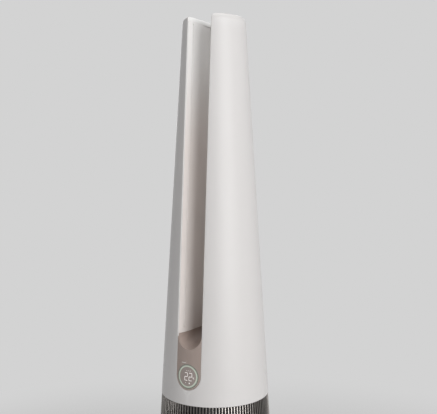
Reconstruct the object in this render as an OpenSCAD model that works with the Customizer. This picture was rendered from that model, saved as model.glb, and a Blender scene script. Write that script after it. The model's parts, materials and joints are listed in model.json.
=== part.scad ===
// Two-wing bladeless tower fan with a filter in its lower half.
// Millimetres. Origin on the floor at the centre of the base, +Z up, the front faces -Y,
// and left and right are as seen by somebody who looks at the front.

/* [Tower] */
// Height of the whole tower
tower_h = 1127; // [1090:1:1150]
// Radius of the tapering body at the floor
base_r = 133.5; // [131:0.5:135]
// Radius of the tapering body at its top
top_r = 67.5; // [66.5:0.5:70]
// Wall of the outer shells
wall_t = 2.5; // [2.2:0.1:3]
// Rounding of the wings' top edges
crown_round = 9; // [7:0.5:11]
// Height of the loose caps that close the wings
cap_h = 12; // [12:0.5:15]

/* [Air slot] */
// Half the width of the slot at the shell
slot_half_w = 28.2; // [28:0.2:30]
// Height of the centre of the half-round slot floor
slot_floor_z = 468.5; // [463:0.5:478]
// Depth of the curved lead-in behind the front edge
front_flare_d = 45; // [43:1:47]
// Half the width of the slot behind the lead-in
throat_half_w = 21.5; // [21:0.5:22.5]
// Depth of the curved lead-in behind the rear edge
rear_flare_d = 34; // [32:1:35]
// Half the width between the two nozzle lips
lip_half_w = 16.5; // [16:0.5:17]
// Straight length of each nozzle lip
lip_l = 6; // [4:0.5:8]
// Wall of the nozzle lips
lip_t = 2; // [1.6:0.1:2.2]
// Length by which the front panel overlaps the lip
nozzle_overlap = 10; // [8:0.5:11]
// Wall of the trough that forms the slot floor
trough_t = 3; // [2.5:0.1:3.5]

/* [Fascia] */
// Height of the centre of the fascia's round lower end
fascia_arc_z = 388; // [384:0.5:390]
// Height of the centre of the round display
display_z = 387; // [383:0.5:388]
// Outer radius of the light ring
ring_r = 24; // [23:0.5:25]
// Width of the light ring
ring_w = 3.4; // [3:0.1:4]
// Depth of the lens and of the ring behind the shell's front line
display_d = 8; // [7.5:0.5:9]
// Height of the small status lamp
lamp_z = 413.5; // [412:0.5:418]
// Sideways place of the status lamp
lamp_x = -10; // [-15:0.5:-8]
// Length of the status lamp
lamp_l = 10; // [5:0.5:11]
// Height of the status lamp
lamp_h = 1.6; // [1.2:0.1:2.4]
// Thickness of the circuit boards
board_t = 1.6; // [1.2:0.1:2]

/* [Intake grille] */
// Height of the grille's top end, where the upper covers start
grille_top_z = 330; // [328:1:338]
// Height of the top of the lower skirt
skirt_top_z = 76; // [72:1:80]
// Number of slats around the tower
slat_count = 112; // [96:4:120]
// Width of a slat
slat_w = 3.1; // [2.7:0.1:3.3]
// Depth of a slat
slat_d = 4; // [3.4:0.1:4.6]
// Width of the hoops that carry the slats
hoop_w = 3.2; // [2.6:0.1:3.6]
// Height of the end hoops
end_hoop_h = 9; // [6:0.5:12]
// Height of the hoops between the ends
mid_hoop_h = 3; // [2:0.5:5]
// Number of hoops between the ends
mid_hoops = 2; // [1:1:3]

/* [Filter] */
// Outer radius of the filter
filter_r = 88; // [84:0.5:89]
// Inner radius of the pleated media
filter_bore_r = 60; // [56:1:64]
// Number of pleats
pleats = 64; // [40:2:80]
// Thickness of a media fold
pleat_t = 1.2; // [1:0.1:1.6]
// Height of the filter's end caps
filter_cap_h = 6; // [5:0.5:8]
// Width of the pull strap
strap_w = 26; // [20:1:32]

/* [Foot] */
// Height of the rubber feet
pad_h = 4; // [3:0.5:5]
// Radius of a rubber foot
pad_r = 9; // [7:0.5:11]
// Number of rubber feet
pad_count = 6; // [4:1:8]
// Circle that the feet stand on
pad_circle_r = 106; // [100:1:110]
// Height of the foot's top above the floor
foot_top_z = 22; // [21:0.5:24]
// Thickness of the foot's bottom plate
bottom_t = 2.5; // [2:0.1:3]
// Thickness of the steel ballast
ballast_t = 7; // [6:0.5:8]
// Radius of the hub that the tower turns on
hub_r = 22; // [20:0.5:24]
// Radius of the cable way in the hub
cable_way_r = 13; // [10:0.5:14]
// Thickness of the slide ring
slide_t = 1.5; // [1:0.1:2]
// Radius of the cord's passage in its gland
cord_bore_r = 3.6; // [3.2:0.1:4]
// Length of the cord gland
gland_l = 14; // [12:0.5:16]

/* [Swivel drive] */
// Module of the swivel gears
swivel_module = 1.5; // [1.4:0.05:1.5]
// Teeth of the turntable gear
gear_teeth = 72; // [68:4:72]
// Teeth of the swivel pinion
pinion_teeth = 18; // [17:1:20]
// Height of the turntable gear
gear_h = 6; // [5:0.5:7]
// Thickness of the chassis plate
chassis_t = 3; // [2.5:0.1:4]
// Radius of the swivel motor
swivel_motor_r = 24; // [20:0.5:25]

/* [Fan] */
// Radius of the impeller's blades
blade_r = 73; // [70:0.5:74]
// Height of the impeller
impeller_h = 54; // [50:1:56]
// Number of blades
blades = 9; // [7:1:11]
// Thickness of a blade
blade_t = 2; // [1.6:0.1:2.4]
// Running gap between blades and duct
tip_gap = 1.2; // [1:0.1:1.6]
// Radius of the motor shaft
shaft_r = 4; // [3.5:0.1:4.5]
// Radius of the fan motor
motor_r = 32; // [30:0.5:34]
// Height of the fan motor
motor_h = 32; // [28:1:34]
// Number of stator vanes
stator_vanes = 11; // [9:1:13]
// Thickness of the fan deck
deck_t = 5; // [4:0.5:6]

/* [Guide boards] */
// Radius of the guide boards
guide_r = 50; // [49:0.5:50]
// Thickness of a guide board
guide_t = 2; // [1.6:0.1:2.2]
// Depth of the closed boards behind the front edge
guide_depth = 10; // [9:0.5:11]
// Angle from the middle to a board's hidden edge
guide_back_angle = 69; // [68:0.5:70]
// Radial clearance of a board in its slit
guide_gap = 0.4; // [0.3:0.05:0.5]
// Module of the guide racks
guide_module = 0.8; // [0.8:0.05:0.8]
// Teeth of a guide pinion
guide_pinion_teeth = 15; // [14:1:16]
// Angle of the guide pinion from the middle
guide_pinion_angle = 75; // [74:0.5:76]
// Radius of a guide motor
guide_motor_r = 13; // [12:0.5:14]

/* [Fits] */
// Gap between shells that meet
seam = 0.3; // [0.2:0.05:0.4]
// Running clearance of shafts in their bores
run_gap = 0.05; // [0.04:0.01:0.08]

/* [Hidden] */
$fn = 96;
eps = 0.5;
far = 400;

white_shell = [0.90, 0.89, 0.88];
inner_shell = [0.87, 0.84, 0.82];
taupe_trim = [0.52, 0.46, 0.43];
silver_slat = [0.72, 0.70, 0.68];
dark_plastic = [0.16, 0.16, 0.17];
grey_plastic = [0.45, 0.46, 0.48];
steel = [0.70, 0.71, 0.73];
rubber_black = [0.08, 0.08, 0.08];
board_green = [0.10, 0.33, 0.22];
media_charcoal = [0.20, 0.20, 0.21];
acetal_white = [0.93, 0.93, 0.90];
ring_green = [0.75, 0.90, 0.80];

// ---- the tapering body ----

function cone_r(z) = base_r - (base_r - top_r) * z / tower_h;
cone_angle = atan((base_r - top_r) / tower_h);

module cone_solid(z0, z1, inset) {
    translate([0, 0, z0])
        cylinder(h = z1 - z0, r1 = cone_r(z0) - inset, r2 = cone_r(z1) - inset);
}

module cone_shell(z0, z1, inset, thickness) {
    difference() {
        cone_solid(z0, z1, inset);
        translate([0, 0, z0 - eps])
            cylinder(h = z1 - z0 + 2 * eps, r1 = cone_r(z0 - eps) - inset - thickness,
                r2 = cone_r(z1 + eps) - inset - thickness);
    }
}

module tube(r_out, r_in, z0, z1) {
    translate([0, 0, z0])
        difference() {
            cylinder(h = z1 - z0, r = r_out);
            translate([0, 0, -eps])
                cylinder(h = z1 - z0 + 2 * eps, r = r_in);
        }
}

// A cylinder whose axis runs along Y, from y0 to y1
module y_cylinder(radius, y0, y1, z, x = 0) {
    translate([x, y1, z])
        rotate([90, 0, 0])
            cylinder(h = y1 - y0, r = radius);
}

// The right-hand piece, or its mirror image for the left
module on_side(side) {
    mirror([side == "left" ? 1 : 0, 0, 0])
        children();
}

// ---- heights of what stands on what ----

chassis_z = foot_top_z + slide_t + gear_h + 1.5;
skirt_z = foot_top_z + slide_t + seam;
floor_t = 3;
filter_z = skirt_top_z + seam;
deck_z = grille_top_z - deck_t;
bell_lip_h = 11;
filter_top_z = deck_z - bell_lip_h - seam;
post_w = 10;
post_d = 40;
post_gap = 4;
post_x = filter_r + post_gap;
cap_z = tower_h - cap_h;
panel_z = slot_floor_z + seam;

// ---- the slot's plan ----

// Distance of the slot's edge from the middle plane, front or rear, at height z
function edge_y(z) = sqrt(pow(cone_r(z), 2) - pow(slot_half_w, 2));
edge_tilt = atan((edge_y(slot_floor_z) - edge_y(tower_h)) / (tower_h - slot_floor_z));
edge_l = (tower_h - slot_floor_z) / cos(edge_tilt);
// Radius of the arc that starts at the edge and runs out straight at the flare's depth
function flare_r(depth, half_w) =
    (pow(depth, 2) + pow(slot_half_w - half_w, 2)) / (2 * (slot_half_w - half_w));
front_arc_r = flare_r(front_flare_d, throat_half_w);
rear_arc_r = flare_r(rear_flare_d, lip_half_w);
lip_end_d = rear_flare_d + lip_l;
panel_end_d = lip_end_d - nozzle_overlap;

// A frame whose Z runs up the front edge and whose Y is the depth behind that edge
module edge_frame() {
    translate([0, -edge_y(slot_floor_z), slot_floor_z])
        rotate([-edge_tilt, 0, 0])
            children();
}

// Section of a slot wall: an arc from the edge, then a straight stretch
module wall_section(arc_r, half_w, depth, thickness, start, end) {
    intersection() {
        translate([half_w + arc_r, depth])
            difference() {
                circle(r = arc_r);
                circle(r = arc_r - thickness);
            }
        translate([0, start])
            square([half_w + thickness + slot_half_w, depth - start]);
    }
    translate([half_w, depth])
        square([thickness, end - depth]);
}

// The slot's own half plan, widened outwards by extra
module slot_section(arc_r, half_w, depth, extra, start, end) {
    difference() {
        translate([0, start])
            square([slot_half_w + extra + 3, depth - start]);
        translate([half_w + arc_r, depth])
            circle(r = arc_r - extra);
    }
    translate([0, depth])
        square([half_w + extra, end - depth]);
}

// ---- gears ----

function gear_angle(teeth) = 360 / teeth;
function involute(a) = tan(a) * 180 / PI - a;
pressure_angle = 20;
// Angle from a tooth's middle to its flank at radius r
function flank_angle(teeth, m, play, r) =
    let (pitch_r = teeth * m / 2, rb = pitch_r * cos(pressure_angle))
    90 / teeth - play / 2 / pitch_r * 180 / PI + involute(pressure_angle)
        - involute(r <= rb ? 0 : acos(rb / r));
flank_steps = 4;
addendum = 0.8;
dedendum = 1.1;
// Outline of the teeth from number first to number last, counterclockwise
function teeth_outline(teeth, m, play, first, last) =
    let (pitch_r = teeth * m / 2, tip = pitch_r + addendum * m, root = pitch_r - dedendum * m)
    [for (i = [first : last], side = [-1, 1], k = [0 : flank_steps])
        let (share = side < 0 ? k / flank_steps : 1 - k / flank_steps,
            r = root + (tip - root) * share,
            a = i * gear_angle(teeth) + side * flank_angle(teeth, m, play, r))
        [r * cos(a), r * sin(a)]];

module gear(teeth, m, play, height) {
    linear_extrude(height = height)
        polygon(teeth_outline(teeth, m, play, 0, teeth - 1));
}

swivel_play = 0.3;
gear_z = foot_top_z + slide_t;
gear_centres = swivel_module * (gear_teeth + pinion_teeth) / 2;

// ---- foot ----

ballast_z = pad_h + bottom_t;
foot_roof_t = 3;
foot_wall_t = 3;
foot_skirt_z = pad_h - 1;
bottom_gap = 3;
bottom_r = base_r - foot_wall_t - bottom_gap;
boss_r = 4;
boss_inset = 6.5;
boss_circle_r = bottom_r - boss_inset;
screw_r = 1.5;
screw_l = 7;
screw_end_gap = 1;
screw_head_r = 3;
screw_head_h = 2;
slide_inset = 36;
slide_w = 10;
slide_r_in = cone_r(foot_top_z) - slide_w - slide_inset;
swivel_shaft_r = 2.5;
swivel_shaft_l = 9;

module rubber_feet() {
    color(rubber_black)
        for (i = [0 : pad_count - 1])
            rotate([0, 0, (i + 0.5) * 360 / pad_count])
                translate([pad_circle_r, 0, 0])
                    cylinder(h = pad_h, r1 = pad_r - 1, r2 = pad_r);
}

module at_foot_screws() {
    for (a = [45 : 90 : 315])
        rotate([0, 0, a])
            translate([boss_circle_r, 0, 0])
                children();
}

module foot_bottom_plate() {
    color(dark_plastic)
        difference() {
            translate([0, 0, pad_h])
                cylinder(h = bottom_t, r = bottom_r);
            translate([0, 0, pad_h - eps])
                cylinder(h = bottom_t + 2 * eps, r = cable_way_r);
            at_foot_screws()
                translate([0, 0, pad_h - eps])
                    cylinder(h = bottom_t + 2 * eps, r = screw_r + seam);
        }
}

gland_r = 6;
gland_flange_r = 8;
gland_flange_t = 2.5;
gland_recess = 2;
gland_z = (ballast_z + foot_top_z - foot_roof_t + 1) / 2;
gland_y = base_r - gland_recess;
ballast_gap = 2;
ballast_bore_r = hub_r + 10;
cord_way_l = 35;

// Steel ring with a round cut for the motor and a slot for the cord
module ballast_plate() {
    color(steel)
        difference() {
            tube(boss_circle_r - boss_r - ballast_gap, ballast_bore_r,
                ballast_z, ballast_z + ballast_t);
            translate([gear_centres, 0, ballast_z - eps])
                cylinder(h = ballast_t + 2 * eps, r = swivel_motor_r + ballast_gap);
            translate([-gland_flange_r, gland_y - gland_l - cord_way_l, ballast_z - eps])
                cube([2 * gland_flange_r, cord_way_l + gland_l, ballast_t + 2 * eps]);
        }
}

module foot_shell() {
    color(white_shell)
        difference() {
            union() {
                cone_shell(foot_skirt_z, foot_top_z, 0, foot_wall_t);
                translate([0, 0, foot_top_z - foot_roof_t])
                    cylinder(h = foot_roof_t, r = cone_r(foot_top_z) - foot_wall_t / 2);
                translate([0, 0, foot_top_z - foot_roof_t])
                    cylinder(h = chassis_z - foot_top_z + foot_roof_t + seam, r = hub_r);
                at_foot_screws()
                    translate([0, 0, ballast_z])
                        cylinder(h = foot_top_z - ballast_z - foot_roof_t / 2, r = boss_r);
            }
            translate([0, 0, -eps])
                cylinder(h = far, r = cable_way_r);
            translate([gear_centres, 0, 0])
                cylinder(h = foot_top_z + eps, r = swivel_shaft_r + seam);
            at_foot_screws()
                translate([0, 0, ballast_z - eps])
                    cylinder(h = screw_l + screw_end_gap + eps, r = screw_r + run_gap);
            retainer_holes(screw_r + run_gap);
            y_cylinder(gland_flange_r + seam, gland_y - gland_flange_t - seam, far, gland_z);
            y_cylinder(gland_r + seam, gland_y - gland_l - seam, far, gland_z);
        }
}

module foot_screws() {
    color(steel)
        at_foot_screws() {
            translate([0, 0, pad_h - screw_head_h])
                cylinder(h = screw_head_h, r = screw_head_r);
            translate([0, 0, pad_h - eps])
                cylinder(h = bottom_t + screw_l, r = screw_r);
        }
}

module slide_ring() {
    color(acetal_white)
        tube(slide_r_in + slide_w, slide_r_in, foot_top_z, foot_top_z + slide_t);
}

retainer_t = 3;
retainer_rim = 7;
retainer_r = hub_r + retainer_rim;
retainer_z = chassis_z + seam;
retainer_screw_angles = [30 : 120 : 270];

module retainer_holes(radius) {
    for (a = retainer_screw_angles)
        rotate([0, 0, a])
            translate([(hub_r + cable_way_r) / 2, 0, retainer_z - screw_l - screw_end_gap])
                cylinder(h = screw_l + screw_end_gap + retainer_t + eps, r = radius);
}

module hub_retainer() {
    color(steel)
        difference() {
            tube(retainer_r, cable_way_r, retainer_z, retainer_z + retainer_t);
            retainer_holes(screw_r + seam);
        }
}

module retainer_screws() {
    color(steel)
        for (a = retainer_screw_angles)
            rotate([0, 0, a])
                translate([(hub_r + cable_way_r) / 2, 0, retainer_z + retainer_t]) {
                    cylinder(h = screw_head_h, r = screw_head_r);
                    translate([0, 0, -retainer_t - screw_l])
                        cylinder(h = retainer_t + screw_l + eps, r = screw_r);
                }
}

module swivel_motor() {
    color(grey_plastic)
        translate([gear_centres, 0, ballast_z])
            difference() {
                cylinder(h = foot_top_z - foot_roof_t - ballast_z, r = swivel_motor_r);
                translate([0, 0, foot_top_z - foot_roof_t - ballast_z - swivel_shaft_l])
                    cylinder(h = far, r = swivel_shaft_r + run_gap);
            }
}

module cord_gland() {
    color(rubber_black)
        difference() {
            union() {
                y_cylinder(gland_flange_r, gland_y - gland_flange_t, gland_y, gland_z);
                y_cylinder(gland_r, gland_y - gland_l, gland_y - eps, gland_z);
            }
            y_cylinder(cord_bore_r, gland_y - gland_l - eps, gland_y + eps, gland_z);
        }
}

module swivel_pinion() {
    color(acetal_white)
        translate([gear_centres, 0, 0]) {
            translate([0, 0, gear_z])
                rotate([0, 0, 180 + gear_angle(pinion_teeth) / 2])
                    gear(pinion_teeth, swivel_module, swivel_play, gear_h);
            translate([0, 0, foot_top_z - foot_roof_t - swivel_shaft_l + seam])
                cylinder(h = swivel_shaft_l + foot_roof_t + slide_t + eps, r = swivel_shaft_r);
        }
}

// ---- lower body ----

chassis_inset = 12;
chassis_r = cone_r(chassis_z) - chassis_inset;
skirt_flange_t = 2.5;
skirt_flange_w = 10;
runner_inset = 1;
turntable_rim = 12;

module chassis_plate() {
    color(steel)
        difference() {
            union() {
                translate([0, 0, chassis_z])
                    cylinder(h = chassis_t, r = chassis_r);
                tube(slide_r_in + slide_w - runner_inset, slide_r_in + runner_inset,
                    gear_z, chassis_z + eps);
            }
            translate([0, 0, chassis_z - eps])
                cylinder(h = chassis_t + 2 * eps, r = retainer_r + 1);
        }
}

module turntable_gear() {
    color(acetal_white)
        translate([0, 0, gear_z])
            difference() {
                union() {
                    gear(gear_teeth, swivel_module, swivel_play, gear_h);
                    cylinder(h = chassis_z - gear_z, r = retainer_r + turntable_rim);
                }
                translate([0, 0, -eps])
                    cylinder(h = far, r = hub_r + run_gap);
            }
}

release_w = 34;
release_h = 10;
release_travel = 3;
release_z = 56;
release_recess = 1.5;
release_y = cone_r(release_z) - release_recess;
release_cap_t = 3;
stem_w = 8;
stem_h = 6;
stem_l = 24;
guide_block_w = 26;
guide_block_t = 5;
guide_block_y = release_y - release_cap_t - release_travel - 1 - guide_block_t;

module skirt_flange() {
    difference() {
        cone_solid(chassis_z + chassis_t, chassis_z + chassis_t + skirt_flange_t, wall_t / 2);
        translate([0, 0, chassis_z])
            cylinder(h = far, r = chassis_r - skirt_flange_w);
    }
}

module lower_skirt() {
    color(white_shell)
        difference() {
            union() {
                cone_shell(skirt_z, skirt_top_z, 0, wall_t);
                skirt_flange();
                translate([-guide_block_w / 2, guide_block_y, chassis_z + chassis_t])
                    cube([guide_block_w, guide_block_t,
                        release_z + stem_h / 2 + 5 - chassis_z - chassis_t]);
            }
            translate([-release_w / 2 - seam, guide_block_y + guide_block_t + eps,
                release_z - release_h / 2 - seam])
                cube([release_w + 2 * seam, far, release_h + 2 * seam]);
            translate([-stem_w / 2 - seam, 0, release_z - stem_h / 2 - seam])
                cube([stem_w + 2 * seam, base_r, stem_h + 2 * seam]);
        }
}

module cover_release() {
    color(white_shell) {
        translate([-release_w / 2, release_y - release_cap_t, release_z - release_h / 2])
            cube([release_w, release_cap_t, release_h]);
        translate([-stem_w / 2, release_y - stem_l, release_z - stem_h / 2])
            cube([stem_w, stem_l - eps, stem_h]);
    }
}

power_board_w = 90;
power_board_d = 50;
power_board_gap = 8;
standoff_h = 4;
standoff_r = 3;
standoff_inset = 6;
capacitor_r = 9;
capacitor_h = 18;
capacitor_pitch = 24;

module power_board() {
    plate_z = chassis_z + chassis_t;
    board_y = -retainer_r - power_board_gap - power_board_d;
    color(board_green)
        translate([-power_board_w / 2, board_y, plate_z + standoff_h])
            cube([power_board_w, power_board_d, board_t]);
    color(dark_plastic) {
        for (x = [-1, 1], y = [standoff_inset, power_board_d - standoff_inset])
            translate([x * (power_board_w / 2 - standoff_inset), board_y + y, plate_z])
                cylinder(h = standoff_h + board_t + 1, r = standoff_r);
        for (i = [-1 : 1])
            translate([i * capacitor_pitch, board_y + power_board_d / 2,
                plate_z + standoff_h + board_t - eps])
                cylinder(h = capacitor_h, r = capacitor_r);
    }
}

module filter_floor() {
    color(dark_plastic)
        difference() {
            cone_solid(skirt_top_z - floor_t, skirt_top_z, wall_t + seam);
            for (x = [-1, 1])
                translate([x * (post_x + post_w / 2), 0, skirt_top_z])
                    cube([post_w + 2 * seam, post_d + 2 * seam, 4 * floor_t], center = true);
        }
}

module side_posts() {
    color(dark_plastic)
        for (x = [-1, 1])
            translate([x * (post_x + post_w / 2), 0, (chassis_z + chassis_t + deck_z) / 2])
                cube([post_w, post_d, deck_z - chassis_z - chassis_t], center = true);
}

// ---- intake grille ----

slat_inset = 0.6;
slat_z = skirt_top_z + seam;
slat_top_z = grille_top_z - seam;
hoop_overlap = 0.3;

module hoop(z0, z1) {
    outer = slat_inset + slat_d - hoop_overlap;
    rotate([0, 0, seam / 2])
        rotate_extrude(angle = 180 - seam)
            polygon([
                [cone_r(z0) - outer - hoop_w, z0],
                [cone_r(z0) - outer, z0],
                [cone_r(z1) - outer, z1],
                [cone_r(z1) - outer - hoop_w, z1]]);
}

// One half of the grille, with its slats on the side of +Y
module half_grille() {
    hoop_top_z = deck_z - seam;
    hoop_pitch = (hoop_top_z - slat_z - end_hoop_h) / (mid_hoops + 1);
    hoop(slat_z, slat_z + end_hoop_h);
    hoop(hoop_top_z - end_hoop_h, hoop_top_z);
    for (i = [1 : mid_hoops])
        hoop(slat_z + i * hoop_pitch + (end_hoop_h - mid_hoop_h) / 2,
            slat_z + i * hoop_pitch + (end_hoop_h + mid_hoop_h) / 2);
    for (i = [0 : slat_count / 2 - 1])
        rotate([0, 0, (i + 0.5) * 360 / slat_count])
            translate([cone_r(slat_z) - slat_inset - slat_d, -slat_w / 2, slat_z])
                slat();
}

// A slat that leans with the body, with level ends
module slat() {
    run = (slat_top_z - slat_z) * tan(cone_angle);
    translate([0, slat_w, 0])
        rotate([90, 0, 0])
            linear_extrude(height = slat_w)
                polygon([[0, 0], [slat_d, 0],
                    [slat_d - run, slat_top_z - slat_z], [-run, slat_top_z - slat_z]]);
}

module front_grille() {
    color(silver_slat)
        mirror([0, 1, 0])
            half_grille();
}

module rear_grille() {
    color(silver_slat)
        half_grille();
}

// ---- filter ----

sleeve_t = 2;
sleeve_ribs = 12;
sleeve_rings = 5;
sleeve_ring_h = 3;
sleeve_rib_w = 3;
sleeve_rib_inset = 0.3;
media_gap = 0.5;

module filter_media() {
    outer = filter_r - sleeve_t - media_gap;
    step = 360 / pleats;
    color(media_charcoal)
        translate([0, 0, filter_z + filter_cap_h])
            linear_extrude(height = filter_top_z - filter_z - 2 * filter_cap_h)
                difference() {
                    polygon([for (i = [0 : pleats - 1], k = [0, 1])
                        let (a = (i + k / 2) * step, r = k == 0 ? outer : filter_bore_r + pleat_t)
                        [r * cos(a), r * sin(a)]]);
                    polygon([for (i = [0 : pleats - 1], k = [0, 1])
                        let (a = (i + k / 2) * step,
                            r = k == 0 ? outer - 4 * pleat_t : filter_bore_r)
                        [r * cos(a), r * sin(a)]]);
                }
}

module filter_top_cap() {
    color(dark_plastic)
        tube(filter_r, filter_bore_r, filter_top_z - filter_cap_h, filter_top_z);
}

module filter_bottom_cap() {
    color(dark_plastic)
        translate([0, 0, filter_z])
            cylinder(h = filter_cap_h, r = filter_r);
}

module filter_sleeve() {
    z0 = filter_z + filter_cap_h;
    z1 = filter_top_z - filter_cap_h;
    color(dark_plastic) {
        for (i = [0 : sleeve_rings - 1])
            let (z = z0 + i * (z1 - z0 - sleeve_ring_h) / (sleeve_rings - 1))
            tube(filter_r, filter_r - sleeve_t, z, z + sleeve_ring_h);
        for (i = [0 : sleeve_ribs - 1])
            rotate([0, 0, (i + 0.5) * 360 / sleeve_ribs])
                translate([filter_r - sleeve_t + sleeve_rib_inset, -sleeve_rib_w / 2, z0])
                    cube([sleeve_t - 2 * sleeve_rib_inset, sleeve_rib_w, z1 - z0]);
    }
}

strap_t = 1.5;
strap_l = 70;

module filter_strap() {
    z = (filter_z + filter_top_z) / 2;
    color(taupe_trim)
        translate([-strap_w / 2, filter_r + seam, z - strap_l / 2])
            cube([strap_w, strap_t, strap_l]);
}

// ---- fan ----

bell_r = 60;
bell_lip_w = 5;
duct_z = grille_top_z;
impeller_gap = 4;
impeller_z = duct_z + impeller_gap;
impeller_top_z = impeller_z + impeller_h;
duct_top_z = impeller_top_z + 3;
duct_t = 2.5;
duct_r = blade_r + tip_gap;
duct_flange_w = 7;
duct_flange_r = duct_r + duct_t + duct_flange_w;
duct_flange_t = 2.5;
inlet_r = bell_r - 2;
shroud_h = 32;
// Radii of the impeller's solid hub at its eye and at its back
hub_r0 = 20;
hub_r1 = 46;
hub_eye_h = 6;
hub_start_h = 12;
hub_t = 2.5;
boss_wall = 5;
boss_top_h = 34;
blade_arc_r = 52;
vane_arc_r = 80;
stator_vane_t = 1.8;
motor_z = impeller_top_z + 6;
cup_t = 2.5;
cup_gap = 2;
damper_h = 4;
damper_r = 5;
cup_r = motor_r + cup_gap + cup_t;
cup_top_z = motor_z + motor_h + damper_h;
stator_top_z = motor_z + motor_h - 3;

module fan_deck() {
    color(dark_plastic)
        difference() {
            translate([0, 0, deck_z])
                cylinder(h = deck_t, r = cone_r(grille_top_z) - slat_inset - slat_d - seam - 0.2);
            translate([0, 0, deck_z - eps])
                cylinder(h = deck_t + 2 * eps, r = bell_r + bell_lip_h / 2);
        }
}

// Inlet ring: a rounded mouth under the deck, whose lip meets the filter
module bellmouth() {
    lip_r = bell_r + bell_lip_h;
    color(grey_plastic)
        translate([0, 0, deck_z])
            rotate_extrude() {
                intersection() {
                    translate([lip_r, 0])
                        circle(r = bell_lip_h);
                    translate([bell_r, -bell_lip_h])
                        square(bell_lip_h);
                }
                translate([lip_r, -bell_lip_h])
                    square([bell_lip_w, bell_lip_h]);
            }
}

wire_r = 1;
bar_drop = 6;
guard_ring_r = 16;
guard_ring_pitch = 14;

// Rings on crossed bars, whose ends sit in the mouth
module inlet_guard() {
    bar_l = bell_r + bell_lip_h - seam
        - sqrt(pow(bell_lip_h, 2) - pow(bar_drop - wire_r, 2));
    color(steel) {
        for (r = [guard_ring_r : guard_ring_pitch : bell_r])
            translate([0, 0, deck_z - bar_drop - 1.5 * wire_r])
                rotate_extrude()
                    translate([r, 0])
                        circle(r = wire_r, $fn = 24);
        for (a = [0 : 60 : 120])
            rotate([0, 0, a])
                translate([-bar_l, 0, deck_z - bar_drop])
                    rotate([0, 90, 0])
                        cylinder(h = 2 * bar_l, r = wire_r, $fn = 24);
    }
}

// Half section of the passage that the blades fill
module blade_section() {
    polygon([[hub_r0 - 2, impeller_z], [inlet_r, impeller_z], [blade_r, impeller_z + shroud_h],
        [blade_r, impeller_top_z], [hub_r1 - 1, impeller_top_z],
        [hub_r0 - 2, impeller_z + hub_start_h]]);
}

module impeller() {
    color(grey_plastic) {
        rotate_extrude()
            polygon([[shaft_r + run_gap, impeller_z + hub_eye_h],
                [hub_r0 - hub_eye_h, impeller_z + hub_eye_h],
                [hub_r0, impeller_z + hub_start_h], [hub_r1, impeller_top_z - 3],
                [hub_r1, impeller_top_z], [hub_r1 - hub_t, impeller_top_z],
                [hub_r0 - 2, impeller_z + hub_start_h + 4],
                [shaft_r + boss_wall, impeller_z + hub_start_h + 4],
                [shaft_r + boss_wall, impeller_z + boss_top_h],
                [shaft_r + run_gap, impeller_z + boss_top_h]]);
        intersection() {
            difference() {
                rotate_extrude()
                    blade_section();
                rotate_extrude()
                    polygon([[0, impeller_z - eps], [hub_r0 - 7, impeller_z - eps],
                        [hub_r0 - 7, impeller_z + hub_eye_h + 2],
                        [hub_r0 - 1, impeller_z + hub_start_h + 1],
                        [hub_r1 - hub_t / 2, impeller_top_z - 3],
                        [hub_r1 - hub_t / 2, far], [0, far]]);
            }
            translate([0, 0, impeller_z])
                linear_extrude(height = impeller_h)
                    for (i = [0 : blades - 1])
                        rotate(i * 360 / blades)
                            curved_blade(blade_arc_r, blade_t, hub_r0 - 8, blade_r + 4);
        }
    }
}

// Plan of a blade: a strip of an arc that leaves the hub and leans back
module curved_blade(arc_r, thickness, r_in, r_out) {
    intersection() {
        translate([arc_r, 0])
            difference() {
                circle(r = arc_r);
                circle(r = arc_r - thickness);
            }
        difference() {
            circle(r = r_out);
            circle(r = r_in);
        }
        square([2 * arc_r, 2 * arc_r]);
    }
}

module motor_shaft() {
    color(steel)
        translate([0, 0, impeller_z + 4])
            cylinder(h = motor_z + motor_h - 6 - impeller_z - 4, r = shaft_r);
}

module fan_duct() {
    color(dark_plastic)
        rotate_extrude()
            polygon([
                [inlet_r + tip_gap, duct_z], [duct_flange_r, duct_z],
                [duct_flange_r, duct_z + duct_flange_t],
                [inlet_r + tip_gap + 12, duct_z + duct_flange_t],
                [duct_r + duct_t, impeller_z + shroud_h],
                [duct_r + duct_t, duct_top_z - duct_flange_t],
                [duct_flange_r, duct_top_z - duct_flange_t], [duct_flange_r, duct_top_z],
                [duct_r, duct_top_z], [duct_r, impeller_z + shroud_h],
                [inlet_r + tip_gap, impeller_z]]);
}

module diffuser() {
    color(dark_plastic) {
        rotate_extrude()
            polygon([[duct_r, duct_top_z], [duct_flange_r, duct_top_z],
                [duct_flange_r, duct_top_z + duct_flange_t],
                [duct_r + duct_t, duct_top_z + duct_flange_t],
                [duct_r + duct_t, stator_top_z], [duct_r, stator_top_z]]);
        tube(cup_r, cup_r - cup_t, motor_z, cup_top_z + cup_t);
        tube(cup_r - cup_t / 2, 8, cup_top_z, cup_top_z + cup_t);
        translate([0, 0, motor_z + 3])
            linear_extrude(height = stator_top_z - motor_z - 5)
                for (i = [0 : stator_vanes - 1])
                    rotate(i * 360 / stator_vanes)
                        mirror([0, 1])
                            curved_blade(vane_arc_r, stator_vane_t, cup_r - 0.8, duct_r + 0.8);
    }
}

module fan_motor() {
    color(grey_plastic)
        difference() {
            union() {
                translate([0, 0, motor_z])
                    cylinder(h = motor_h, r = motor_r);
                translate([0, 0, motor_z - 3])
                    cylinder(h = 3 + eps, r = 10);
            }
            translate([0, 0, motor_z - 4])
                cylinder(h = motor_h - 1, r = shaft_r + run_gap);
        }
}

module motor_dampers() {
    color(rubber_black)
        for (a = [0 : 120 : 240])
            rotate([0, 0, a])
                translate([motor_r - 9, 0, motor_z + motor_h])
                    cylinder(h = damper_h, r = damper_r);
}

// ---- wings ----

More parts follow.
